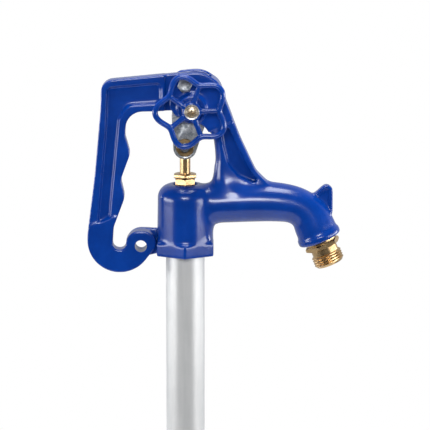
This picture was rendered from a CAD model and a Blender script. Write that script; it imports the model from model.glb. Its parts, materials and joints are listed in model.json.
"""Looks of the yard hydrant: cast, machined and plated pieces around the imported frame.

Everything is in metres, +Z up, in the frame's own coordinates. Sizes of the head are in
millimetres from the underside of its hex base, on the riser's axis, and are turned into
metres by the shape functions.
"""
from __future__ import annotations

import json
import logging
import math
from dataclasses import dataclass, field
from enum import Enum
from typing import Iterable, Sequence

import bmesh
import bpy
import numpy as np
from mathutils import Matrix, Vector

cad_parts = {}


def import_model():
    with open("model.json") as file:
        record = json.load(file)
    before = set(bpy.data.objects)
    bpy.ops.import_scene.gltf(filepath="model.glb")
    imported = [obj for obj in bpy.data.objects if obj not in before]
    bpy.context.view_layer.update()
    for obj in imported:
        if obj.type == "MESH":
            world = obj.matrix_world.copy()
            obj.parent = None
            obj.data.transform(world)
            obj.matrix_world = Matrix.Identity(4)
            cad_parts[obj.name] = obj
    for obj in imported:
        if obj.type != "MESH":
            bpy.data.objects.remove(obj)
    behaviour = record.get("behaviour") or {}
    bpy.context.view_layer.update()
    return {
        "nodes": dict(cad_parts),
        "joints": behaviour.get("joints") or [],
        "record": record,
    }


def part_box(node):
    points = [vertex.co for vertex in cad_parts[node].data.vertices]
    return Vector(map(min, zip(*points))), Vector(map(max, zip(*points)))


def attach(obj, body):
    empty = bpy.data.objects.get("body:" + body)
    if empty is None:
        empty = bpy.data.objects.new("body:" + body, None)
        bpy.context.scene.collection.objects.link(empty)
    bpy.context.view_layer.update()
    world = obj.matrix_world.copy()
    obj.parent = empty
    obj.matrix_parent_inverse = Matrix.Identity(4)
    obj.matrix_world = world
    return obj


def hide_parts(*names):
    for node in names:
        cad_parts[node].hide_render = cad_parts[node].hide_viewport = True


LOG = logging.getLogger("hydrant")
MM = 0.001
Y_AXIS = (0.0, 1.0, 0.0)
NEAR = (0.0, -1.0, 0.0)
Point = tuple[float, float]
Corner = tuple[float, float, float]
Colour = tuple[float, float, float]

# Places that several sub-assemblies share, as (x, z) of the head, mm.
FULCRUM: Point = (0.0, 149.2)
CRANK: Point = (3.9, 121.6)
WHEEL: Point = (6.0, 129.0)
PADLOCK: Point = (-38.3, 7.8)
OUTLET: Point = (116.8, 12.5)
OUTLET_TILT = math.radians(22.5)
OUTLET_WAY = Vector((math.sin(OUTLET_TILT), 0, -math.cos(OUTLET_TILT)))
SMOOTHING = 0.5                 # share of the way to its neighbours' mean in one pass
CAST_ANGLE = 40.0               # sharpest angle that a casting still shades smooth, degrees


# ---- outlines ---------------------------------------------------------------------------------
def arc(centre: Point, radius: float, start: float, end: float, step: float = 6.0) -> list[Point]:
    """Points of an arc.

    Args:
        centre: The arc's centre.
        radius: Its radius.
        start: First angle in degrees.
        end: Last angle in degrees.
        step: Largest step between points, in degrees.

    Returns:
        The points, both ends included.
    """
    count = max(2, math.ceil(abs(end - start) / step))
    angles = [math.radians(start + (end - start) * k / count) for k in range(count + 1)]
    return [(centre[0] + radius * math.cos(a), centre[1] + radius * math.sin(a)) for a in angles]


def rounded(corners: Sequence[Corner], step: float = 6.0) -> list[Point]:
    """Round each corner of an outline, as far as its sides leave room.

    Args:
        corners: (x, z, radius) of each corner.
        step: Largest step of an arc, in degrees.

    Returns:
        The outline's points.
    """
    spots = [Vector(corner[:2]) for corner in corners]
    count = len(spots)
    halves = [(spots[i - 1] - spots[i]).angle(spots[(i + 1) % count] - spots[i]) / 2
              for i in range(count)]
    wanted = [corners[i][2] / math.tan(halves[i]) for i in range(count)]
    sides = [(spots[(i + 1) % count] - spots[i]).length for i in range(count)]
    room = [0.999 * sides[i] / (wanted[i] + wanted[(i + 1) % count]) for i in range(count)]
    outline = []
    for i, here in enumerate(spots):
        reach = wanted[i] * min(1, room[i - 1], room[i])
        radius = reach * math.tan(halves[i])
        to_last = (spots[i - 1] - here).normalized()
        to_next = (spots[(i + 1) % count] - here).normalized()
        centre = here + (to_last + to_next).normalized() * radius / math.sin(halves[i])
        first = here + to_last * reach - centre
        sweep = first.angle_signed(here + to_next * reach - centre)
        pieces = max(1, math.ceil(abs(math.degrees(sweep)) / step))
        for k in range(pieces + 1):
            spot = centre + Matrix.Rotation(-sweep * k / pieces, 2) @ first
            outline.append((spot.x, spot.y))
    return outline


def inset(outline: Sequence[Point], distance: float) -> list[Point]:
    """Move an outline's points inwards, square to its sides.

    Args:
        outline: Closed outline.
        distance: How far, mm.

    Returns:
        As many points.
    """
    count = len(outline)
    area = sum(a[0] * b[1] - b[0] * a[1] for a, b in zip(outline, [*outline[1:], outline[0]]))
    side = math.copysign(1.0, area)
    moved = []
    for i in range(count):
        before = (Vector(outline[i]) - Vector(outline[i - 1])).normalized()
        after = (Vector(outline[(i + 1) % count]) - Vector(outline[i])).normalized()
        along = (before + after).normalized()
        stretch = 1 / max(0.5, along.dot(after))
        spot = Vector(outline[i]) + Vector((-along.y, along.x)) * side * distance * stretch
        moved.append(tuple(spot))
    return moved


def belt(low: Point, low_r: float, high: Point, high_r: float) -> list[Point]:
    """Outline of two circles and the two straight lines that touch both."""
    span = Vector(high) - Vector(low)
    heading = math.degrees(math.atan2(span.y, span.x))
    lean = math.degrees(math.acos((low_r - high_r) / span.length))
    under = arc(low, low_r, heading + lean, heading + 360 - lean)
    return under + arc(high, high_r, heading - lean, heading + lean)


def hexagon(flats: float, turn: float = 0.0) -> list[Point]:
    """Corners of a hexagon of a size across its flats, turned by some degrees."""
    corner = flats / math.sqrt(3)
    return arc((0, 0), corner, turn, turn + 300, 60)


def smooth_path(points: Sequence[Point], per_span: int = 5) -> list[Point]:
    """Catmull-Rom curve through the points of a path."""
    ends = [points[0], *points, points[-1]]
    path = []
    for a, b, c, d in zip(ends, ends[1:], ends[2:], ends[3:]):
        for k in range(per_span):
            t = k / per_span
            path.append(tuple(
                0.5 * (2 * q + (r - p) * t + (2 * p - 5 * q + 4 * r - s) * t * t
                       + (3 * q - p - 3 * r + s) * t ** 3)
                for p, q, r, s in zip(a, b, c, d)))
    return path + [points[-1]]


# ---- solids -----------------------------------------------------------------------------------
def stand(centre: Sequence[float], direction: Sequence[float]) -> Matrix:
    """Matrix that places a shape made along +Z at a centre, along a direction."""
    turn = Vector((0, 0, 1)).rotation_difference(Vector(direction)).to_matrix().to_4x4()
    return Matrix.Translation(centre) @ turn


def linked(name: str, shape: bmesh.types.BMesh) -> bpy.types.Object:
    """Link a bmesh to the scene as it is, and free it."""
    mesh = bpy.data.meshes.new(name)
    shape.to_mesh(mesh)
    shape.free()
    item = bpy.data.objects.new(name, mesh)
    bpy.context.scene.collection.objects.link(item)
    return item


def to_object(name: str, shape: bmesh.types.BMesh) -> bpy.types.Object:
    """Weld a closed bmesh, point its faces out, and link it."""
    bmesh.ops.remove_doubles(shape, verts=shape.verts, dist=1e-7)
    bmesh.ops.recalc_face_normals(shape, faces=shape.faces)
    if shape.calc_volume(signed=True) < 0:
        bmesh.ops.reverse_faces(shape, faces=shape.faces)
    return linked(name, shape)


def extruded(shape: bmesh.types.BMesh, points: Iterable[Sequence[float]],
             step: Sequence[float]) -> list[bmesh.types.BMVert]:
    """Raise a flat face by a step, and return the raised points."""
    face = shape.faces.new([shape.verts.new(point) for point in points])
    grown = bmesh.ops.extrude_face_region(shape, geom=[face])
    moved = [v for v in grown["geom"] if isinstance(v, bmesh.types.BMVert)]
    bmesh.ops.translate(shape, verts=moved, vec=step)
    return moved


def hoop(shape: bmesh.types.BMesh, radius: float, matrix: Matrix,
         sides: int) -> list[bmesh.types.BMEdge]:
    """Add a ring of a radius in mm, and return its edges."""
    ring = bmesh.ops.create_circle(shape, segments=sides, radius=radius * MM, matrix=matrix)
    return list({edge for vert in ring["verts"] for edge in vert.link_edges})


@dataclass(frozen=True)
class Datum:
    """Where the head's own millimetres lie in the frame."""

    base: float                 # height of the hex base's underside, m

    def at(self, point: Point, y: float = 0.0) -> Vector:
        """Place in the frame of a point (x, z) of the head, at a depth y, all in mm."""
        return Vector((point[0] * MM, y * MM, point[1] * MM + self.base))

    def plate(self, name: str, outline: Sequence[Point], near: float, far: float,
              shrink: Sequence[Point] | None = None) -> bpy.types.Object:
        """Upright plate between two depths.

        Args:
            name: The object's name.
            outline: Its (x, z) points at the near depth.
            near: First depth, mm.
            far: Last depth, mm.
            shrink: The outline at the far depth, with as many points, for drafted walls.

        Returns:
            The closed solid.
        """
        shape = bmesh.new()
        moved = extruded(shape, [self.at(p, near) for p in outline], (0, (far - near) * MM, 0))
        if shrink is not None:
            spots = {tuple(round(c, 7) for c in self.at(p, far)): self.at(q, far)
                     for p, q in zip(outline, shrink)}
            for vert in moved:
                vert.co = spots[tuple(round(c, 7) for c in vert.co)]
            bmesh.ops.triangulate(shape, faces=shape.faces[:])
        return to_object(name, shape)

    def turned(self, name: str, profile: Sequence[Point], centre: Vector,
               direction: Sequence[float] = (0, 0, 1), sides: int = 64) -> bpy.types.Object:
        """Solid of revolution.

        Args:
            name: The object's name.
            profile: Closed outline of (radius, height) in mm; radius 0 is on the axis.
            centre: Where height 0 is, in the frame.
            direction: The axis.
            sides: Steps of the full turn.

        Returns:
            The closed solid.
        """
        shape = bmesh.new()
        ring = [shape.verts.new((r * MM, 0, h * MM)) for r, h in profile]
        edges = [shape.edges.new(pair) for pair in zip(ring, ring[1:] + ring[:1])
                 if max(v.co.x for v in pair) > 1e-9]
        bmesh.ops.spin(shape, geom=ring + edges, cent=(0, 0, 0), axis=(0, 0, 1),
                       angle=math.tau, steps=sides, use_merge=True)
        shape.transform(stand(centre, direction))
        return to_object(name, shape)

    def rod(self, name: str, radius: float, low: float, high: float, centre: Vector,
            direction: Sequence[float] = (0, 0, 1), sides: int = 64) -> bpy.types.Object:
        """Plain round bar between two distances along its direction, in mm."""
        profile = [(0, low), (radius, low), (radius, high), (0, high)]
        return self.turned(name, profile, centre, direction, sides)

    def prism(self, name: str, outline: Sequence[Point], low: float, high: float,
              centre: Vector, direction: Sequence[float] = (0, 0, 1)) -> bpy.types.Object:
        """Extrude a flat outline between two distances along its direction, in mm."""
        shape = bmesh.new()
        extruded(shape, [(x * MM, y * MM, low * MM) for x, y in outline],
                 (0, 0, (high - low) * MM))
        shape.transform(stand(centre, direction))
        return to_object(name, shape)

    def hex_bar(self, name: str, flats: float, low: float, high: float, centre: Vector,
                direction: Sequence[float] = (0, 0, 1), turn: float = 0.0,
                both: bool = False) -> bpy.types.Object:
        """Hexagon with chamfered corners, as turned from hex bar.

        Args:
            name: The object's name.
            flats: Size across the flats, mm.
            low: Where it starts along its direction.
            high: Where it ends.
            centre: Its axis's origin.
            direction: Its axis.
            turn: Turn about the axis, degrees.
            both: True to chamfer both ends, not only the outer one.

        Returns:
            The closed solid.
        """
        solid = self.prism(name, hexagon(flats, turn), low, high, centre, direction)
        corner = flats / math.sqrt(3)
        drop = (corner - flats / 2) * 0.62
        inner = flats / 2 * 0.985
        start = [(0, low), (inner, low), (corner + 0.2, low + drop)] if both else \
            [(0, low - 1), (corner + 0.2, low - 1)]
        end = [(corner + 0.2, high - drop), (inner, high), (0, high)]
        cone = self.turned(name + "_cone", [*start, *end], centre, direction, 72)
        combine(solid, [cone], "INTERSECT")
        return solid

    def loft(self, name: str, path: Sequence[Point], widths: Sequence[float],
             depths: Sequence[float] | None = None, sides: int = 64,
             level: bool = False) -> bpy.types.Object:
        """Elliptical tube of changing size along a path in the head's upright plane.

        Args:
            name: The object's name.
            path: (x, z) of each ring's centre, mm.
            widths: Half width of each ring in the plane, mm.
            depths: Half depth of each ring across the plane, or None for round rings.
            sides: Points of a ring.
            level: Whether every ring lies level instead of square to the path.

        Returns:
            The closed solid.
        """
        shape = bmesh.new()
        loops = []
        for i, spot in enumerate(path):
            along = Vector(path[min(i + 1, len(path) - 1)]) - Vector(path[max(i - 1, 0)])
            matrix = stand(self.at(spot), (0, 0, 1) if level else (along.x, 0, along.y))
            depth = 1.0 if depths is None else depths[i] / widths[i]
            loops.append(hoop(shape, widths[i], matrix @ Matrix.Diagonal((1, depth, 1, 1)), sides))
        for low, high in zip(loops, loops[1:]):
            bmesh.ops.bridge_loops(shape, edges=low + high)
        bmesh.ops.holes_fill(shape, edges=loops[0] + loops[-1], sides=0)
        return to_object(name, shape)


def discard(item: bpy.types.Object) -> None:
    """Take a used solid out of the scene."""
    bpy.data.objects.remove(item, do_unlink=True)


def bake_modifiers(item: bpy.types.Object) -> None:
    """Replace an object's mesh by what its modifiers make of it."""
    graph = bpy.context.evaluated_depsgraph_get()
    mesh = bpy.data.meshes.new_from_object(item.evaluated_get(graph))
    item.modifiers.clear()
    old, item.data = item.data, mesh
    bpy.data.meshes.remove(old)


def combine(target: bpy.types.Object, others: Iterable[bpy.types.Object], operation: str) -> None:
    """Union or cut other solids with a target, and remove them afterwards.

    The second solver is only used where the first one loses the whole solid.
    """
    others = list(others)
    whole = target.data.copy()
    for solver in ("EXACT", "MANIFOLD"):
        target.data = whole.copy()
        for other in others:
            modifier = target.modifiers.new(other.name, "BOOLEAN")
            modifier.operation = operation
            modifier.solver = solver
            modifier.object = other
        bake_modifiers(target)
        if target.data.polygons:
            break
        LOG.warning("%s solver left nothing of %s", solver, target.name)
    else:
        raise ValueError(f"{operation.lower()} of {others[0].name} left nothing of {target.name}")
    for other in others:
        discard(other)


def cut(target: bpy.types.Object, *others: bpy.types.Object) -> bpy.types.Object:
    """Cut solids out of a target."""
    combine(target, others, "DIFFERENCE")
    return target


def unite(target: bpy.types.Object, *others: bpy.types.Object) -> bpy.types.Object:
    """Union solids into a target."""
    combine(target, others, "UNION")
    return target


def bevelled(item: bpy.types.Object, width: float) -> bpy.types.Object:
    """Break an object's sharp edges with a small bevel, in mm, and bake it."""
    modifier = item.modifiers.new("edge break", "BEVEL")
    modifier.width = width * MM
    modifier.segments = 2
    modifier.limit_method = "ANGLE"
    modifier.angle_limit = math.radians(30.0)
    bake_modifiers(item)
    return item


def shade(item: bpy.types.Object, angle: float) -> None:
    """Shade an object smooth, with its sharp edges kept."""
    item.data.shade_smooth()
    item.data.set_sharp_from_angle(angle=math.radians(angle))


# ---- casting ----------------------------------------------------------------------------------
@dataclass(frozen=True)
class Fillet:
    """Region where a casting's inner corners are filled."""

    centre: Point               # middle of the region, mm in the head's plane
    reach: float                # radius of full strength, mm
    fade: float                 # distance over which it dies away, mm
    strength: float = 1.0


@dataclass
class Casting:
    """Fuses solids into one cast body, fills its inner corners and softens its edges."""

    datum: Datum
    voxel: float                # mesh size, mm
    passes: int = 60            # fillet passes; the filled radius grows with their root
    everywhere: float = 0.1     # fillet strength outside the stated regions
    soften: int = 5             # passes that round outer edges
    first: int = 2              # passes that take the skin's steps away
    refresh: int = 4            # fillet passes between two looks at the normals
    fillets: list[Fillet] = field(default_factory=list)

    def fuse(self, name: str, solids: Sequence[bpy.types.Object]) -> bpy.types.Object:
        """Fuse overlapping solids into one skin and shape it as a casting.

        Args:
            name: The casting's name.
            solids: Closed solids, which are used up.

        Returns:
            The casting, without its bores.
        """
        shape = bmesh.new()
        for solid in solids:
            shape.from_mesh(solid.data)
            discard(solid)
        item = linked(name, shape)
        self.skin(item)
        self.relax(item.data, self.first)
        self.fill_corners(item.data)
        return item

    def skin(self, item: bpy.types.Object) -> None:
        """Give a casting one even skin of small faces."""
        modifier = item.modifiers.new("skin", "REMESH")
        modifier.mode = "VOXEL"
        modifier.voxel_size = self.voxel * MM
        bake_modifiers(item)

    def fill_corners(self, mesh: bpy.types.Mesh) -> None:
        """Grow fillets: points in a hollow corner move out along their normals."""
        points, edges, degree = mesh_arrays(mesh)
        weight = self.strengths(points)[:, None]
        for number in range(self.passes):
            if number % self.refresh == 0:
                normals = mesh_normals(mesh, points)
            pull = neighbour_mean(points, edges, degree) - points
            rise = (pull * normals).sum(axis=1, keepdims=True).clip(min=0)
            points += normals * rise * weight
        write_points(mesh, points)

    def strengths(self, points: np.ndarray) -> np.ndarray:
        """Fillet strength at each point, from the regions."""
        flat = points[:, [0, 2]] / MM - np.array([0, self.datum.base / MM])
        weight = np.full(len(points), self.everywhere)
        for region in self.fillets:
            away = np.linalg.norm(flat - np.array(region.centre), axis=1)
            near = ((region.reach + region.fade - away) / region.fade).clip(0, 1)
            weight = np.maximum(weight, region.strength * near * near * (3 - 2 * near))
        return weight

    def relax(self, mesh: bpy.types.Mesh, passes: int) -> None:
        """Smooth all points a little, which rounds edges and removes the mesh's steps."""
        points, edges, degree = mesh_arrays(mesh)
        for _ in range(passes):
            points += (neighbour_mean(points, edges, degree) - points) * SMOOTHING
        write_points(mesh, points)


def mesh_arrays(mesh: bpy.types.Mesh) -> tuple[np.ndarray, np.ndarray, np.ndarray]:
    """Points, edges and edges per point of a mesh."""
    points = np.empty(len(mesh.vertices) * 3)
    mesh.vertices.foreach_get("co", points)
    edges = np.empty(len(mesh.edges) * 2, dtype=np.int64)
    mesh.edges.foreach_get("vertices", edges)
    edges = edges.reshape(-1, 2)
    degree = np.bincount(edges.ravel(), minlength=len(mesh.vertices)).clip(min=1)
    return points.reshape(-1, 3), edges, degree


def neighbour_mean(points: np.ndarray, edges: np.ndarray, degree: np.ndarray) -> np.ndarray:
    """Mean of the points next to each point."""
    total = np.empty_like(points)
    for axis in range(3):
        values = points[:, axis]
        total[:, axis] = (np.bincount(edges[:, 0], values[edges[:, 1]], len(points))
                          + np.bincount(edges[:, 1], values[edges[:, 0]], len(points)))
    return total / degree[:, None]


def write_points(mesh: bpy.types.Mesh, points: np.ndarray) -> None:
    """Put points back into a mesh."""
    mesh.vertices.foreach_set("co", points.ravel())
    mesh.update()


def mesh_normals(mesh: bpy.types.Mesh, points: np.ndarray) -> np.ndarray:
    """Normals of a mesh whose points have moved."""
    write_points(mesh, points)
    normals = np.empty(len(points) * 3)
    mesh.vertices.foreach_get("normal", normals)
    return normals.reshape(-1, 3)


# ---- shader maths -----------------------------------------------------------------------------
class Wire:
    """A socket of numbers, on which Python's operators add Math nodes."""

    def __init__(self, web: "Web", socket: bpy.types.NodeSocket) -> None:
        """Wrap a socket of a web of nodes."""
        self.web = web
        self.socket = socket

    def _math(self, operation: str, *values: "Wire | float") -> "Wire":
        """Add one Math node."""
        return self.web.node("ShaderNodeMath", {"operation": operation}, dict(enumerate(values)))

    def __add__(self, other: "Wire | float") -> "Wire":
        """Sum."""
        return self._math("ADD", self, other)

    def __sub__(self, other: "Wire | float") -> "Wire":
        """Difference."""
        return self._math("SUBTRACT", self, other)

    def __rsub__(self, other: float) -> "Wire":
        """Difference, from a number."""
        return self._math("SUBTRACT", other, self)

    def __mul__(self, other: "Wire | float") -> "Wire":
        """Product."""
        return self._math("MULTIPLY", self, other)

    __radd__ = __add__
    __rmul__ = __mul__

    def span(self, low: float, high: float) -> "Wire":
        """Stretch the range low to high over 0 to 1, smoothly."""
        return self.web.node("ShaderNodeMapRange", {"interpolation_type": "SMOOTHSTEP"},
                             {"Value": self, "From Min": low, "From Max": high})


class Web:
    """The nodes of one material."""

    def __init__(self, name: str) -> None:
        """Start a material with a Principled shader and nothing else."""
        self.material = bpy.data.materials.new(name)
        self.material.use_nodes = True
        self.tree = self.material.node_tree
        self.shader = self.tree.nodes["Principled BSDF"]

    def node(self, kind: str, settings: dict, inputs: dict, output: int | str = 0) -> Wire:
        """Add a node.

        Args:
            kind: The node's type.
            settings: Attributes, which are set before its sockets.
            inputs: Values or wires of its sockets, by name or number.
            output: The socket to return.

        Returns:
            The output, as a wire.
        """
        node = self.tree.nodes.new(kind)
        for key, value in settings.items():
            setattr(node, key, value)
        for key, value in inputs.items():
            self.feed(node.inputs[key], value)
        return Wire(self, node.outputs[output])

    def feed(self, socket: bpy.types.NodeSocket, value: "Wire | float | Sequence[float]") -> None:
        """Give a socket a wire, a number or a colour."""
        if isinstance(value, Wire):
            self.tree.links.new(value.socket, socket)
        elif hasattr(value, "__len__") and len(value) == 3 and socket.type == "RGBA":
            socket.default_value = (*value, 1.0)
        else:
            socket.default_value = value

    def place(self, scale: Sequence[float] = (1, 1, 1)) -> Wire:
        """Object coordinates, scaled for each axis."""
        where = self.node("ShaderNodeTexCoord", {}, {}, "Object")
        return self.node("ShaderNodeMapping", {}, {"Vector": where, "Scale": scale})

    def noise(self, where: Wire, scale: float, detail: float = 3.0, rough: float = 0.5) -> Wire:
        """Fractal noise from 0 to 1."""
        return self.node("ShaderNodeTexNoise", {},
                         {"Vector": where, "Scale": scale, "Detail": detail, "Roughness": rough})

    def cells(self, where: Wire, scale: float) -> Wire:
        """One random number for each cell of a pattern of crystals."""
        colour = self.node("ShaderNodeTexVoronoi", {}, {"Vector": where, "Scale": scale}, "Color")
        return self.node("ShaderNodeSeparateColor", {}, {"Color": colour})

    def mix(self, mask: Wire, a: "Wire | Colour", b: "Wire | Colour") -> Wire:
        """Blend two colours by a mask."""
        return self.node("ShaderNodeMix", {"data_type": "RGBA"}, {0: mask, 6: a, 7: b}, 2)

    def bump(self, height: Wire, depth: float, strength: float = 1.0,
             base: Wire | None = None) -> Wire:
        """Bump of a given depth in mm, on top of another if one is given."""
        inputs = {"Height": height, "Distance": depth * MM, "Strength": strength}
        if base is not None:
            inputs["Normal"] = base
        return self.node("ShaderNodeBump", {}, inputs)

    def finish(self, **sockets: "Wire | float | Colour") -> bpy.types.Material:
        """Set the shader's sockets, with _ for a space in a name, and return the material."""
        for key, value in sockets.items():
            self.feed(self.shader.inputs[key.replace("_", " ")], value)
        return self.material


# ---- finishes ---------------------------------------------------------------------------------
@dataclass(frozen=True)
class Enamel:
    """Thick blue gloss enamel over sand-cast iron."""

    deep: Colour = (0.0, 0.035, 0.26)
    body: Colour = (0.0, 0.049, 0.35)
    sand: float = 0.055         # depth of the sand texture that shows through, mm
    peel: float = 0.010         # depth of the enamel's orange peel, mm

    def material(self) -> bpy.types.Material:
        """Build the finish."""
        web = Web("blue_enamel")
        where = web.place()
        broad = web.noise(where, 38, 3)
        fine = web.noise(where, 260, 4, 0.6)
        tone = (broad * 0.7 + fine * 0.3).span(0.3, 0.7)
        pits = web.noise(where, 520, 2).span(0.62, 0.78)
        sand = web.bump(fine + pits * -0.5, self.sand, 0.55)
        peel = web.bump(web.noise(where, 1100, 1), self.peel, 0.6, sand)
        return web.finish(
            Base_Color=web.mix(tone, self.deep, self.body),
            Roughness=broad * 0.06 + fine * 0.04 + 0.19,
            Coat_Weight=0.18 + tone * 0.08,
            Coat_Roughness=0.09,
            Specular_IOR_Level=0.45,
            Normal=peel)


@dataclass(frozen=True)
class ZincPlate:
    """Dull, mottled zinc plating on punched and turned steel."""

    name: str = "zinc_plate"
    dark: Colour = (0.17, 0.195, 0.22)
    pale: Colour = (0.68, 0.70, 0.72)
    grain: float = 420          # crystals per metre
    shine: float = 0.30         # least roughness

    def material(self) -> bpy.types.Material:
        """Build the finish."""
        web = Web(self.name)
        where = web.place()
        warp = web.noise(where, 160, 3)
        cells = web.cells(where, self.grain)
        stain = web.noise(where, 230, 5, 0.65).span(0.32, 0.68)
        tone = (cells * 0.35 + stain * 0.45 + warp * 0.2).span(0.15, 0.85)
        scratch = web.noise(web.place((1, 1, 7)), 620, 2)
        dents = web.bump(warp + cells * 0.15, 0.09, 0.5)
        return web.finish(
            Base_Color=web.mix(tone, self.dark, self.pale),
            Metallic=0.93,
            Roughness=self.shine + (1 - tone) * 0.22 + scratch * 0.06,
            Normal=web.bump(scratch, 0.012, 0.5, dents))


@dataclass(frozen=True)
class Brass:
    """Machined brass with light tool marks and a little tarnish."""

    bright: Colour = (0.61, 0.42, 0.215)
    tarnish: Colour = (0.27, 0.15, 0.055)

    def material(self) -> bpy.types.Material:
        """Build the finish."""
        web = Web("brass")
        where = web.place()
        blotch = web.noise(where, 190, 4, 0.6).span(0.48, 0.86)
        rings = web.noise(web.place((0.6, 0.6, 9)), 420, 2)
        speck = web.noise(where, 1500, 1)
        marks = web.bump(rings, 0.018, 0.5)
        return web.finish(
            Base_Color=web.mix(blotch * 0.55, self.bright, self.tarnish),
            Metallic=1.0,
            Roughness=0.27 + blotch * 0.14 + rings * 0.07,
            Normal=web.bump(speck, 0.006, 0.4, marks))


@dataclass(frozen=True)
class Galvanised:
    """Smooth hot-dipped pipe: satin, with faint runs along it and pale spangles."""

    pale: Colour = (0.74, 0.745, 0.745)
    grey: Colour = (0.63, 0.64, 0.645)

    def material(self) -> bpy.types.Material:
        """Build the finish."""
        web = Web("galvanised_steel")
        where = web.place()
        runs = web.noise(web.place((1, 1, 0.06)), 190, 3)
        spangle = web.cells(where, 90)
        tone = (runs * 0.78 + spangle * 0.07 + web.noise(where, 60, 3) * 0.15).span(0.2, 0.8)
        return web.finish(
            Base_Color=web.mix(tone, self.grey, self.pale),
            Metallic=0.45,
            Roughness=0.36 + runs * 0.06 + spangle * 0.02,
            Normal=web.bump(runs, 0.006, 0.2))


@dataclass(frozen=True)
class Soft:
    """Rubber or graphite packing: dark, matt and slightly grained."""

    name: str
    dark: Colour
    pale: Colour
    roughness: float

    def material(self) -> bpy.types.Material:
        """Build the finish."""
        web = Web(self.name)
        grain = web.noise(web.place(), 900, 3)
        return web.finish(
            Base_Color=web.mix(grain, self.dark, self.pale),
            Roughness=self.roughness + grain * 0.1,
            Normal=web.bump(grain, 0.03, 0.5))


class Slot(Enum):
    """The record's material slots, with the finish of each."""

    ENAMEL = ("blue_enamel", Enamel())
    BRASS = ("brass", Brass())
    ZINC = ("zinc_plate", ZincPlate())
    PIPE = ("galvanised_steel", Galvanised())
    RUBBER = ("black_rubber", Soft("black_rubber", (0.010, 0.010, 0.011), (0.03, 0.03, 0.031), 0.6))
    PACKING = ("graphite_packing", Soft("graphite_packing", (0.02, 0.02, 0.022),
                                        (0.07, 0.07, 0.075), 0.45))


@dataclass
class Workshop:
    """Dresses pieces: one material for each slot, and the frame's bookkeeping."""

    datum: Datum
    nodes: dict[str, bpy.types.Object]
    record: dict
    materials: dict[str, bpy.types.Material] = field(default_factory=dict)

    def material(self, slot: Slot) -> bpy.types.Material:
        """The slot's material, built once."""
        name, finish = slot.value
        if name not in self.materials:
            self.materials[name] = finish.material()
        return self.materials[name]

    def dress(self, item: bpy.types.Object, slot: Slot, body: str, *nodes: str,
              angle: float = 32.0, finish: "ZincPlate | None" = None) -> None:
        """Finish a piece and tie it to its body.

        Args:
            item: The new piece, which stands for the nodes.
            slot: Its finish.
            body: The body that it rides on.
            nodes: The CAD nodes that it replaces.
            angle: Sharpest angle that is still shaded smooth.
            finish: The piece's own shade of its slot's finish, or None for the usual one.
        """
        item.data.materials.clear()
        item.data.materials.append(finish.material() if finish else self.material(slot))
        shade(item, angle)
        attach(item, body)
        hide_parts(*nodes)
        LOG.info("%s on %s: %d faces", item.name, body, len(item.data.polygons))

    def dress_nodes(self) -> None:
        """Give every CAD node that is still shown its slot's material."""
        by_name = {slot.value[0]: slot for slot in Slot}
        for entry in self.record["subparts"]:
            node = self.nodes[entry["node"]]
            material = self.material(by_name[entry["material_slot"]])
            if not node.material_slots:
                node.data.materials.append(material)
            for place in node.material_slots:
                place.material = material


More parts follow.
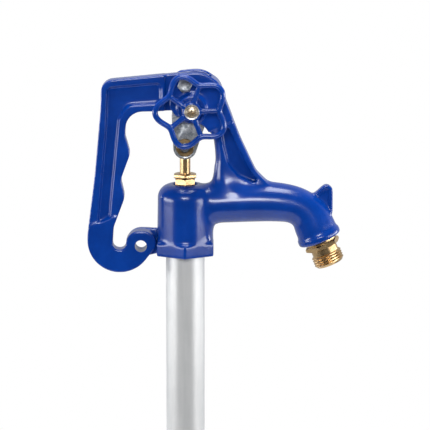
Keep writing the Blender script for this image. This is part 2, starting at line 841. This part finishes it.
# ---- head -------------------------------------------------------------------------------------
@dataclass
class Head:
    """Cast head with its spout, upright, ears, bail hook and padlock lug."""

    shop: Workshop
    hex_flats: float = 49.0
    hex_height: float = 11.5
    body_r: float = 24.3
    top: float = 61.3
    spout_r: float = 17.5
    collar_r: float = 19.0
    collar: float = 6.7
    ear_out: float = 12.4
    ear_in: float = 8.3
    upright_half: float = 8.9
    web_half: float = 5.4
    slot_end: float = 22.4
    outline: tuple[Corner, ...] = (
        (20, 56, 3), (24.6, 70, 12), (26.2, 84, 10), (24.8, 98, 14), (18, 112.5, 14),
        (6, 118.6, 8), (-8, 122, 4), (-12.9, 129, 5), (-13.3, 148, 11), (-7, 158.4, 10),
        (15, 160.6, 22), (29.9, 151, 16), (35.3, 134, 18), (47.5, 102, 60), (61, 73, 16),
        (78, 56, 4), (60, 46, 3))
    shoulder: tuple[Corner, ...] = (
        (15, 40, 1), (15, 104, 1), (27, 112, 8), (60, 126, 1), (110, 126, 1), (110, 40, 1))
    web: tuple[Corner, ...] = (
        (30.5, 112, 3), (37.5, 112, 3), (44.6, 97, 30), (56.8, 73.0, 30), (67.0, 61.8, 3),
        (57.5, 63.6, 10), (45.5, 69.0, 14), (36.4, 79.6, 16), (32.4, 96, 20))
    ridge: tuple[Point, ...] = (
        (32.4, 46), (31.8, 58), (31.7, 70), (33.2, 84), (32.0, 98), (30.2, 106))
    # Height, centre, half width and half depth of each level ring of the rounded rib.
    column_rings: tuple[tuple[float, float, float, float], ...] = (
        (44, 43, 18, 9), (50, 43, 22.5, 15.2), (54.5, 42.2, 21.5, 15.8), (59, 39.6, 18.2, 14.2),
        (64, 36.6, 13.6, 12.1), (70, 34.3, 9.9, 10.7), (76, 33.3, 8.2, 10.0),
        (84, 33.2, 7.1, 9.7), (98, 32.0, 7.1, 9.8),
        (106, 30.2, 7.1, 10.8), (113, 28.6, 7.1, 12.0))
    spout: tuple[Point, ...] = (
        (8, 43), (30, 44.8), (60, 46), (78, 45.4), (91, 43.6), (100.5, 39.7), (107.6, 33),
        (112, 24), (116.1, 14.2))
    spout_scale: tuple[float, ...] = (0.95, 1.0, 1.01, 0.97, 0.93, 0.92, 0.95, 1.0, 1.0)
    bail: tuple[Corner, ...] = (
        (104, 48, 2), (110, 52, 8), (118.6, 59.5, 4), (122, 61.9, 4), (127.3, 57.5, 4.5),
        (127.3, 34, 6), (116, 30, 3))
    bail_inside: tuple[Corner, ...] = (
        (112.6, 51, 1.5), (119.4, 57.4, 2), (122, 59.2, 2), (124.9, 56.6, 2), (124.9, 30, 1))

    def upright(self) -> bpy.types.Object:
        """Upright, forked into the two ears."""
        at = self.shop.datum
        blank = at.plate("upright", rounded(self.outline), -self.ear_out, self.ear_out)
        out = self.ear_out + 5
        shoulder = rounded(self.shoulder)
        slot = [(-30, 100), (self.slot_end, 100), (self.slot_end, 175), (-30, 175)]
        return cut(
            blank,
            at.plate("shoulder_near", shoulder, -out, -self.upright_half),
            at.plate("shoulder_far", shoulder, self.upright_half, out),
            at.plate("corner", [*self.ridge, (8, 106), (8, 40)], -out, out),
            at.plate("fork", slot, -self.ear_in, self.ear_in))

    def recesses(self) -> list[bpy.types.Object]:
        """Cutters of the web's two recesses, with drafted walls."""
        at = self.shop.datum
        mouth = rounded(self.web)
        floor = inset(mouth, 0.9)
        wide = inset(mouth, -0.9)
        return [at.plate(f"web_{side}", wide, side * 2 * self.upright_half, side * self.web_half,
                         floor) for side in (-1, 1)]

    def body(self) -> list[bpy.types.Object]:
        """Round body with its domed top, and the hex base."""
        at = self.shop.datum
        r, top = self.body_r, self.top
        dome = arc((r - 12.4, top - 11.8), 11.8, 0, 90, 8)
        side = [(0, self.hex_height - 1), (r, self.hex_height - 1), (r - 0.6, 45)]
        foot = Vector((0, 0, at.base))
        return [at.turned("body", side + dome + [(0, top)], foot, sides=96),
                at.prism("hex", hexagon(self.hex_flats, 30), 0, self.hex_height, foot)]

    def arm(self) -> list[bpy.types.Object]:
        """Spout, its collar and the bail hook."""
        at = self.shop.datum
        path = smooth_path(self.spout)
        scale = smooth_path([(i, s) for i, s in enumerate(self.spout_scale)])
        end = at.at(OUTLET)
        r, long = self.collar_r, self.collar
        ring = [(0, -long), (r - 1.6, -long), (r, -long + 1.4), (r, -1.2), (r - 1.2, 0), (0, 0)]
        hook = at.plate("bail", rounded(self.bail), -4.5, 4.5)
        inside = rounded(self.bail_inside)
        cut(hook, at.plate("bail_near", inside, -6, -3.1), at.plate("bail_far", inside, 3.1, 6))
        return [at.loft("spout", path, [s[1] * self.spout_r for s in scale]),
                at.turned("collar", ring, end, OUTLET_WAY), hook]

    def column(self) -> bpy.types.Object:
        """Rounded rib that carries the ears and flares into the body and the spout."""
        path = smooth_path([(x, z) for z, x, _, _ in self.column_rings])
        size = smooth_path([(wide, deep) for _, _, wide, deep in self.column_rings])
        return self.shop.datum.loft("column", path, [wide for wide, _ in size],
                                    [deep for _, deep in size], 64, level=True)

    def lug(self) -> bpy.types.Object:
        """Padlock lug behind the lever's eye."""
        x, z = PADLOCK
        ring = arc(PADLOCK, 13, 90, 270)
        return self.shop.datum.plate("lug", ring + [(-15, z - 7.5), (-15, z + 12.1)], 8.7, 14.5)

    def build(self) -> None:
        """Cast the head, bore it and dress it."""
        at = self.shop.datum
        boss = at.rod("boss", 12.2, self.ear_in + 1, 19.9, at.at(WHEEL), NEAR)
        casting = Casting(at, 0.75, passes=260, everywhere=0.05, soften=3, fillets=[
            Fillet((36, 62), 22, 20, 1.0), Fillet((72, 64), 5, 9, 0.8),
            Fillet((27, 36), 17, 14, 0.85), Fillet((28, 108), 8, 8, 0.5)])
        head = casting.fuse("head_casting_enamelled", [
            *self.body(), *self.arm(), self.upright(), self.column(), self.lug(), boss])
        casting.skin(cut(head, *self.recesses()))
        casting.relax(head.data, casting.soften)
        foot = Vector((0, 0, at.base))
        end = at.at(OUTLET)
        cut(head,
            at.rod("socket", 17.0, -6, 15.3, foot),
            at.rod("chamber", 14.4, 0, 50.5, foot),
            at.rod("gland_hole", 8.3, 0, 70, foot),
            at.turned("pocket", [(0, 59.2), (10.4, 59.2), (10.8, 61.2), (11.6, 61.9), (11.6, 68),
                                 (0, 68)], foot),
            at.rod("waterway", 8.6, 0, 100, at.at((0, 44)), (1, 0, 0)),
            at.rod("outlet_way", 9.2, -34, 0, end, OUTLET_WAY),
            at.turned("outlet_thread", [(0, -14), (13.3, -14), (13.3, -1), (14.8, 0.6),
                                        (14.8, 5), (0, 5)], end, OUTLET_WAY),
            at.rod("fulcrum_hole", 3.4, -20, 20, at.at(FULCRUM), Y_AXIS),
            at.rod("stud_hole", 4.3, 0, 26, at.at(WHEEL), NEAR),
            at.rod("lug_hole", 5.2, 5, 20, at.at(PADLOCK), Y_AXIS))
        self.shop.dress(head, Slot.ENAMEL, "head", "head_casting", angle=CAST_ANGLE)


# ---- lever ------------------------------------------------------------------------------------
@dataclass
class Lever:
    """C-shaped cast lever with finger grips, a hook and a padlock eye."""

    shop: Workshop
    half: float = 7.7
    grip_half: float = 6.9
    tang_half: float = 4.9
    web_half: float = 3.7
    outline: tuple[Corner, ...] = (
        (-71.8, 151.6, 11), (9.2, 159.4, 9), (13.1, 112.4, 9.2), (-5.3, 112.4, 9.2),
        (-8, 125.9, 4), (-49.8, 124.6, 14.5), (-51.5, 104.5, 12), (-47, 88.5, 11),
        (-55.3, 66, 11), (-51.8, 50.5, 14), (-61.8, 24, 20), (-63, 4.4, 5.6),
        (-51.2, 4.4, 5.6), (-51.3, 20.8, 13), (-25.3, 20.8, 13), (-25.3, 7, 10),
        (-42.8, -15.4, 28), (-84.5, -15.4, 28), (-84.4, 18, 60), (-77.5, 72, 90),
        (-72.2, 130, 90))
    recess: tuple[Corner, ...] = (
        (-66.8, 146.3, 5), (-19.0, 150.4, 5), (-19.0, 132.2, 5), (-49, 130.2, 9),
        (-56.2, 119, 12), (-64.6, 32.5, 2), (-75.9, 26.5, 2), (-68.3, 112, 60))
    ramp: float = 2.0           # slope at the recess's end beside the ears
    waist: tuple[Corner, ...] = (
        (-100, 20, 1), (-60, 34, 1), (-12, 34, 1), (-12, 170, 1), (-100, 170, 1))
    tang: tuple[Point, ...] = ((-17, 170), (25, 170), (25, 100), (-10, 100), (-17, 118))

    def build(self) -> None:
        """Cast the lever, bore it and dress it."""
        at = self.shop.datum
        blank = at.plate("lever_blank", rounded(self.outline), -self.half, self.half)
        out = self.half + 4
        mouth = rounded(self.recess)
        floor = [(x - self.ramp * min(1.0, max(0.0, (x + 27) / 6)), z)
                 for x, z in inset(mouth, 0.8)]
        waist = rounded(self.waist)
        cut(blank,
            at.plate("waist_near", waist, -out, -self.grip_half),
            at.plate("waist_far", waist, self.grip_half, out),
            at.plate("recess_near", mouth, -self.grip_half - 0.4, -self.web_half, floor),
            at.plate("recess_far", mouth, self.grip_half + 0.4, self.web_half, floor),
            at.plate("tang_near", self.tang, -out, -self.tang_half),
            at.plate("tang_far", self.tang, self.tang_half, out))
        casting = Casting(at, 0.65, passes=50, everywhere=0.18, soften=2)
        lever = casting.fuse("lever_enamelled", [blank])
        casting.relax(lever.data, casting.soften)
        cut(lever,
            at.rod("eye_hole", 5.2, -out, out, at.at(PADLOCK), Y_AXIS),
            at.rod("bushing_hole", 5.33, -out, out, at.at(FULCRUM), Y_AXIS),
            at.rod("crank_hole", 4.3, -out, out, at.at(CRANK), Y_AXIS))
        self.shop.dress(lever, Slot.ENAMEL, "lever_arm", "lever", angle=CAST_ANGLE)


# ---- clamp wheel ------------------------------------------------------------------------------
@dataclass
class ClampWheel:
    """Five-lobed cast wheel with its cupped washer and cross-recess screw."""

    shop: Workshop
    centre: Point = WHEEL
    radius: float = 33.7
    wave: float = 3.9
    lobes: int = 5
    turn: float = 2.0
    rim: float = 5.0
    face: float = 33.0
    thick: float = 5.8
    hub_r: float = 8.4
    rim_steps: int = 140
    rim_sides: int = 20
    teeth: int = 24

    def ring(self) -> bpy.types.Object:
        """Rounded rim that swells outwards between the spokes."""
        at = self.shop.datum
        middle = self.radius - self.wave - self.rim / 2
        shape = bmesh.new()
        loops = []
        for k in range(self.rim_steps):
            angle = math.tau * k / self.rim_steps
            phase = self.lobes * (angle - math.radians(self.turn))
            reach = middle - self.wave * math.cos(phase)
            slope = self.lobes * self.wave * math.sin(phase) / reach
            along = (-math.sin(angle) + slope * math.cos(angle), 0,
                     math.cos(angle) + slope * math.sin(angle))
            spot = at.at((self.centre[0] + reach * math.cos(angle),
                          self.centre[1] + reach * math.sin(angle)), -self.face + self.thick / 2)
            squash = Matrix.Diagonal((1, self.thick / self.rim, 1, 1))
            loops.append(hoop(shape, self.rim / 2, stand(spot, along) @ squash, self.rim_sides))
        for low, high in zip(loops, loops[1:] + loops[:1]):
            bmesh.ops.bridge_loops(shape, edges=low + high)
        return to_object("rim", shape)

    def spoke(self, number: int) -> bpy.types.Object:
        """One spoke, oval in section and a little wider at the hub."""
        at = self.shop.datum
        angle = math.radians(self.turn) + math.tau * number / self.lobes
        along = Vector((math.cos(angle), math.sin(angle)))
        start = Vector(self.centre)
        reach = self.radius - 2 * self.wave - self.rim / 2
        path = [tuple(start + along * d) for d in (3, 9, 14, reach - 3, reach)]
        spoke = at.loft(f"spoke_{number}", path, [3.0, 2.7, 2.2, 2.2, 2.5],
                        [2.6, 2.5, 2.2, 2.2, 2.4], 20)
        spoke.data.transform(Matrix.Translation((0, (-self.face + self.thick / 2) * MM, 0)))
        return spoke

    def build(self) -> None:
        """Cast the wheel and add its fastenings."""
        at = self.shop.datum
        centre = at.at(self.centre)
        hub = at.turned("hub", [(0, 21.1), (7.4, 21.1), (self.hub_r, 22.4), (self.hub_r, 31.6),
                                (7.4, 32.6), (0, 32.6)], centre, NEAR)
        casting = Casting(at, 0.5, passes=50, everywhere=0.5, soften=3)
        wheel = casting.fuse("handwheel_enamelled", [
            self.ring(), hub, *[self.spoke(number) for number in range(self.lobes)]])
        casting.relax(wheel.data, casting.soften)
        cut(wheel,
            at.rod("hub_socket", 4.3, 15, 27.3, centre, NEAR),
            at.rod("hub_hole", 2.6, 20, 40, centre, NEAR))
        self.shop.dress(wheel, Slot.ENAMEL, "clamp", "handwheel", angle=CAST_ANGLE)
        self.washer(centre)
        self.screw(centre)

    def washer(self, centre: Vector) -> None:
        """Cupped washer with a toothed rim."""
        at = self.shop.datum
        cup = at.turned("wheel_washer_zinc", [
            (2.6, 33.0), (6.2, 33.0), (6.5, 33.3), (6.5, 34.1), (6.2, 34.3), (5.5, 34.2),
            (4.9, 33.75), (2.6, 33.75)], centre, NEAR, 72)
        teeth = []
        for k in range(self.teeth):
            angle = math.tau * k / self.teeth
            spot = centre + Vector((math.cos(angle), 0, math.sin(angle))) * 6.7 * MM
            teeth.append(at.rod(f"tooth_{k}", 0.42, 32, 36, spot, NEAR, 8))
        cut(cup, *teeth)
        self.shop.dress(cup, Slot.ZINC, "clamp", "wheel_washer", finish=ZincPlate(
            "bright_zinc", (0.50, 0.51, 0.52), (0.86, 0.86, 0.85), shine=0.2))

    def screw(self, centre: Vector) -> None:
        """Pan-head screw with a cross recess."""
        at = self.shop.datum
        seat = 34.1
        profile = [(0, 19), (2.3, 19), (2.3, seat), (4.1, seat), (4.4, seat + 0.3),
                   (4.4, seat + 1.4), (4.0, seat + 2.0), (3.1, seat + 2.35), (1.6, seat + 2.55),
                   (0, seat + 2.6)]
        screw = at.turned("wheel_screw_zinc", profile, centre, NEAR, 48)
        x, z = self.centre
        deep, out = -seat - 0.7, -seat - 6
        for name, wide, tall in (("across", 3.6, 1.7), ("up", 1.7, 3.6)):
            mouth = [(x - wide, z - tall), (x + wide, z - tall), (x + wide, z + tall),
                     (x - wide, z + tall)]
            along, aside = (0.55, 0.1) if wide > tall else (0.1, 0.55)
            floor = [(x + (p - x) * along, z + (q - z) * aside) for p, q in mouth]
            cut(screw, at.plate(name, mouth, out, deep, floor))
        self.shop.dress(screw, Slot.ZINC, "clamp", "wheel_screw", finish=ZincPlate(
            "yellow_zinc", (0.36, 0.25, 0.14), (0.82, 0.70, 0.52), shine=0.22))


# ---- gland, nozzle and fulcrum ----------------------------------------------------------------
@dataclass
class Fittings:
    """Machined brass and plated steel on the head."""

    shop: Workshop
    gland_flats: float = 16.6
    nut_flats: float = 19.0
    nozzle_flats: float = 27.5
    bolt_flats: float = 11.1

    def gland(self) -> None:
        """Packing gland: hex bushing in the head, and the nut on top of it."""
        at = self.shop.datum
        foot = Vector((0, 0, at.base))
        bushing = at.hex_bar("gland_hex", self.gland_flats, 60.7, 66.3, foot, turn=30)
        unite(bushing, at.rod("gland_thread", 7.98, 50.3, 62, foot))
        cut(bushing, at.rod("gland_bore", 6.2, 53.2, 70, foot), at.rod("way", 4.85, 48, 70, foot))
        bushing.name = "gland_bushing_brass"
        self.shop.dress(bevelled(bushing, 0.15), Slot.BRASS, "head", "gland_bushing")
        nut = at.hex_bar("nut_hex", self.nut_flats, 66.65, 70.2, foot, turn=30, both=True)
        unite(nut, at.rod("nut_shank", 5.9, 61.0, 67.5, foot))
        cut(nut, at.rod("nut_bore", 4.85, 58, 72, foot))
        nut.name = "packing_nut_brass"
        self.shop.dress(bevelled(nut, 0.2), Slot.BRASS, "head", "packing_nut")

    def nozzle(self) -> None:
        """Hose nozzle: hex, neck and a rolled hose thread."""
        at = self.shop.datum
        end, way = at.at(OUTLET), OUTLET_WAY
        pitch, turns, root, crest = 2.2, 4, 12.15, 13.3
        start = 12.8
        profile = [(0, -12), (12.9, -12), (12.9, 5), (11.5, 5.6), (11.5, start - 0.4)]
        for k in range(turns):
            foot = start + k * pitch
            profile += [(root, foot), (crest - 0.15, foot + 0.42 * pitch),
                        (crest, foot + 0.52 * pitch), (crest - 0.15, foot + 0.62 * pitch)]
        last = start + turns * pitch
        profile += [(root, last), (root - 0.3, 22.3), (root - 0.8, 22.8), (0, 22.8)]
        nozzle = at.turned("hose_nozzle_brass", profile, end, way, 72)
        unite(nozzle, at.hex_bar("nozzle_hex", self.nozzle_flats, 2.6, 7.0, end, way, -15, True))
        cut(nozzle, at.turned("nozzle_bore", [(0, -14), (9.4, -14), (9.4, 22), (10.2, 23),
                                              (10.2, 26), (0, 26)], end, way, 72))
        self.shop.dress(nozzle, Slot.BRASS, "head", "hose_nozzle", angle=28)

    def fulcrum_set(self) -> None:
        """Hex bolt through the ears, with its washers and nut."""
        at = self.shop.datum
        centre = at.at(FULCRUM)
        bolt = at.hex_bar("bolt_hex", self.bolt_flats, 12.8, 17.3, centre, NEAR, 8)
        cut(bolt, at.rod("dish", 3.6, 16.9, 20, centre, NEAR))
        tip = [(0, -13.5), (3.1, -13.5), (3.1, 20.6), (2.6, 21.2), (0, 21.2)]
        unite(bolt, at.turned("bolt_shank", tip, centre, Y_AXIS, 40))
        bolt.name = "fulcrum_bolt_zinc"
        self.shop.dress(bevelled(bolt, 0.12), Slot.ZINC, "head", "fulcrum_bolt")
        washer = at.turned("fulcrum_washer_zinc", [(3.45, 12.8), (7.9, 12.8), (7.9, 13.9),
                                                   (7.6, 14.2), (3.45, 14.2)], centre, Y_AXIS)
        self.shop.dress(washer, Slot.ZINC, "head", "fulcrum_washer")
        nut = at.hex_bar("fulcrum_nut_zinc", self.bolt_flats, 16.3, 21.0, centre, Y_AXIS, 8, True)
        cut(nut, at.rod("nut_hole", 3.4, 10, 24, centre, Y_AXIS))
        self.shop.dress(nut, Slot.ZINC, "head", "fulcrum_nut")

    def build(self) -> None:
        """Make every fitting."""
        self.gland()
        self.nozzle()
        self.fulcrum_set()


# ---- links and rod ----------------------------------------------------------------------------
@dataclass
class Linkage:
    """Link plates, pins and the brass stem."""

    shop: Workshop
    eye: Point = (0.0, 94.0)
    inside: float = 5.3
    outside: float = 7.9
    barrel_r: float = 7.6
    stem_r: float = 4.57

    def plates(self) -> None:
        """Two pear-shaped plates with rolled edges."""
        at = self.shop.datum
        outline = belt(self.eye, 10.1, CRANK, 15.2)
        for name, side in (("link_front", -1), ("link_rear", 1)):
            near, far = sorted((side * self.inside, side * self.outside))
            strap = at.plate(name + "_zinc", outline, near, far)
            cut(strap, at.rod("crank_eye", 4.28, -20, 20, at.at(CRANK), Y_AXIS),
                at.rod("rod_eye_hole", 7.85, -20, 20, at.at(self.eye), Y_AXIS))
            self.shop.dress(bevelled(strap, 0.35), Slot.ZINC, "link_pair", name)

    def stem(self) -> None:
        """Brass stem with its cross barrel, and the rivet through it."""
        at = self.shop.datum
        centre = at.at(self.eye)
        r, out, collar = self.barrel_r, self.outside, 9.4
        barrel = at.turned("rod_eye_brass", [
            (0, -out), (r - 0.4, -out), (r, -out + 0.4), (r, -5), (collar, -5), (collar, 5), (r, 5),
            (r, out - 0.4), (r - 0.4, out), (0, out)], centre, Y_AXIS)
        unite(barrel, at.rod("stem", self.stem_r, -20, self.eye[1], Vector((0, 0, at.base))))
        cut(barrel, at.turned("rivet_hole", [(0, -20), (4.45, -20), (4.45, 20), (0, 20)], centre,
                              Y_AXIS))
        self.shop.dress(barrel, Slot.BRASS, "lift_rod", "rod_eye")
        pin = at.turned("eye_pin_zinc", [
            (0, -out + 0.3), (1.4, -out + 0.3), (3.0, -out), (3.9, -out + 0.1), (4.2, -out + 0.5),
            (4.2, out - 0.5), (3.9, out - 0.1), (3.0, out), (0, out)], centre, Y_AXIS, 40)
        self.shop.dress(pin, Slot.ZINC, "lift_rod", "eye_pin")

    def build(self) -> None:
        """Make the linkage's pieces."""
        self.plates()
        self.stem()


# ---- riser and foot valve ---------------------------------------------------------------------
@dataclass
class Riser:
    """Galvanised pipe and the brass valve at its foot."""

    shop: Workshop
    pipe_r: float = 16.7
    bore_r: float = 13.3
    inlet_flats: float = 38.0

    def build(self) -> None:
        """Make the pipe and the valve body."""
        at = self.shop.datum
        low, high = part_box("riser_pipe")
        ends = (low[2] / MM, high[2] / MM)
        r, bore = self.pipe_r, self.bore_r
        pipe = at.turned("riser_pipe_galvanised", [
            (bore, ends[0]), (r - 0.5, ends[0]), (r, ends[0] + 0.5), (r, ends[1] - 0.5),
            (r - 0.5, ends[1]), (bore, ends[1])], Vector((0, 0, 0)), sides=96)
        self.shop.dress(pipe, Slot.PIPE, "head", "riser_pipe")
        self.valve()

    def valve(self) -> None:
        """Cast brass valve body with a hex foot, a beaded socket and a drain boss."""
        at = self.shop.datum
        foot = Vector((0, 0, 0))
        profile = [(0, 14), (19.4, 14), (19.4, 72), (20.4, 75), (22.0, 77.8), (22.6, 80),
                   (22.6, 92), (22.2, 93.5), (22.6, 95), (22.6, 97), (21.8, 97.9), (0, 97.9)]
        hexed = at.hex_bar("valve_hex", self.inlet_flats, 0, 16, foot, both=True)
        body = at.turned("valve_blank", profile, foot, sides=64)
        boss = at.turned("drain_boss", [(0, 13), (7.0, 13), (7.0, 23.6), (6.2, 24.4), (0, 24.4)],
                         Vector((0, 0, 64 * MM)), Y_AXIS, 40)
        casting = Casting(Datum(0.0), 0.8, passes=40, everywhere=0.5, soften=3)
        valve = casting.fuse("valve_body_brass", [body, hexed, boss])
        casting.relax(valve.data, casting.soften)
        cut(valve,
            at.rod("inlet", 13.3, -5, 16, foot),
            at.rod("inlet_way", 8.0, 0, 24, foot),
            at.rod("bore", 11.4, 20, 97, foot),
            at.rod("pipe_socket", 17.0, 80, 102, foot),
            at.rod("drain", 3.3, 0, 30, Vector((0, 0, 64 * MM)), Y_AXIS))
        self.shop.dress(valve, Slot.BRASS, "head", "valve_body", angle=CAST_ANGLE)


# ---- studio -----------------------------------------------------------------------------------
@dataclass(frozen=True)
class Softbox:
    """One soft light that faces the hydrant's head."""

    name: str
    place: tuple[float, float, float]   # from the head's middle, m
    width: float
    height: float
    power: float


@dataclass
class Studio:
    """White room, pale floor, soft lights and the camera."""

    datum: Datum
    elevation: float = 11.0
    distance: float = 2.6
    lens: float = 251.9
    aim: Point = (25.75, 33.8)
    room: float = 0.045         # brightness of the room in front of the object
    backdrop: float = 0.6       # brightness of the backdrop, as the object reflects it
    boxes: tuple[Softbox, ...] = (
        Softbox("right_window", (1.6, -0.14, -0.05), 0.42, 2.2, 24.0),
        Softbox("left_window", (-1.6, -0.10, -0.05), 0.36, 2.2, 24.0),
        Softbox("top_sheet", (0.1, -0.15, 1.6), 1.0, 0.8, 26.0),
        Softbox("front_strip", (0.0, -2.27, 0.82), 1.0, 0.46, 27.0),
    )

    def camera(self) -> None:
        """Long-lens camera, level with the object's own axes."""
        tilt = math.radians(self.elevation)
        data = bpy.data.cameras.new("camera")
        data.lens, data.sensor_width, data.clip_end = self.lens, 36.0, 60.0
        eye = bpy.data.objects.new("camera", data)
        aim = self.datum.at(self.aim)
        eye.location = aim + Vector((0, -math.cos(tilt), math.sin(tilt))) * self.distance
        eye.rotation_euler = (math.pi / 2 - tilt, 0, 0)
        bpy.context.scene.collection.objects.link(eye)
        bpy.context.scene.camera = eye

    def world(self) -> None:
        """White behind the object, and a dimmer room in its reflections."""
        world = bpy.data.worlds.new("room")
        world.use_nodes = True
        tree = world.node_tree
        facing = tree.nodes.new("ShaderNodeTexCoord")
        axes = tree.nodes.new("ShaderNodeSeparateXYZ")
        back = tree.nodes.new("ShaderNodeMapRange")
        back.inputs["From Min"].default_value = -0.05
        back.inputs["From Max"].default_value = 0.55
        back.inputs["To Min"].default_value = self.room
        back.inputs["To Max"].default_value = self.backdrop
        room = tree.nodes["Background"]
        room.inputs["Color"].default_value = (0.93, 0.96, 1.0, 1)
        white = tree.nodes.new("ShaderNodeBackground")
        white.inputs["Color"].default_value = (1, 1, 1, 1)
        seen = tree.nodes.new("ShaderNodeLightPath")
        choice = tree.nodes.new("ShaderNodeMixShader")
        tree.links.new(facing.outputs["Generated"], axes.inputs[0])
        tree.links.new(axes.outputs["Y"], back.inputs["Value"])
        tree.links.new(back.outputs[0], room.inputs["Strength"])
        tree.links.new(seen.outputs["Is Camera Ray"], choice.inputs["Fac"])
        tree.links.new(room.outputs[0], choice.inputs[1])
        tree.links.new(white.outputs[0], choice.inputs[2])
        tree.links.new(choice.outputs[0], tree.nodes["World Output"].inputs["Surface"])
        bpy.context.scene.world = world

    def lights(self) -> None:
        """Soft lights around the head."""
        middle = self.datum.at((10, 75))
        for box in self.boxes:
            data = bpy.data.lights.new(box.name, "AREA")
            data.shape, data.size, data.size_y = "RECTANGLE", box.width, box.height
            data.energy = box.power
            lamp = bpy.data.objects.new(box.name, data)
            lamp.location = middle + Vector(box.place)
            lamp.rotation_euler = (-Vector(box.place)).to_track_quat("-Z", "Z").to_euler()
            bpy.context.scene.collection.objects.link(lamp)

    def floor(self) -> None:
        """Plain pale floor under the foot of the hydrant."""
        shape = bmesh.new()
        bmesh.ops.create_circle(shape, cap_ends=True, segments=96, radius=0.9,
                                matrix=Matrix.Translation((0, 0, -0.002)))
        mesh = bpy.data.meshes.new("floor")
        shape.to_mesh(mesh)
        shape.free()
        floor = bpy.data.objects.new("floor", mesh)
        bpy.context.scene.collection.objects.link(floor)
        web = Web("floor")
        mesh.materials.append(web.finish(Base_Color=(0.74, 0.74, 0.75), Roughness=0.7))

    def build(self) -> None:
        """Set up the studio."""
        bpy.context.scene.view_settings.view_transform = "Standard"
        self.camera()
        self.world()
        self.lights()
        self.floor()


# ---- whole ------------------------------------------------------------------------------------
def fulcrum_height(joints: Iterable[dict]) -> float:
    """Height of the lever's fulcrum in the frame, in metres."""
    return next(joint["pos_m"][2] for joint in joints if joint["name"] == "lever_lift")


def main() -> None:
    """Build every piece around the frame."""
    logging.basicConfig(level=logging.INFO, format="%(name)s: %(message)s")
    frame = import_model()
    datum = Datum(fulcrum_height(frame["joints"]) - FULCRUM[1] * MM)
    shop = Workshop(datum, frame["nodes"], frame["record"])
    Studio(datum).build()
    shop.dress_nodes()
    for maker in (Head, Lever, ClampWheel, Fittings, Linkage, Riser):
        maker(shop).build()


if __name__ == "__main__":
    main()
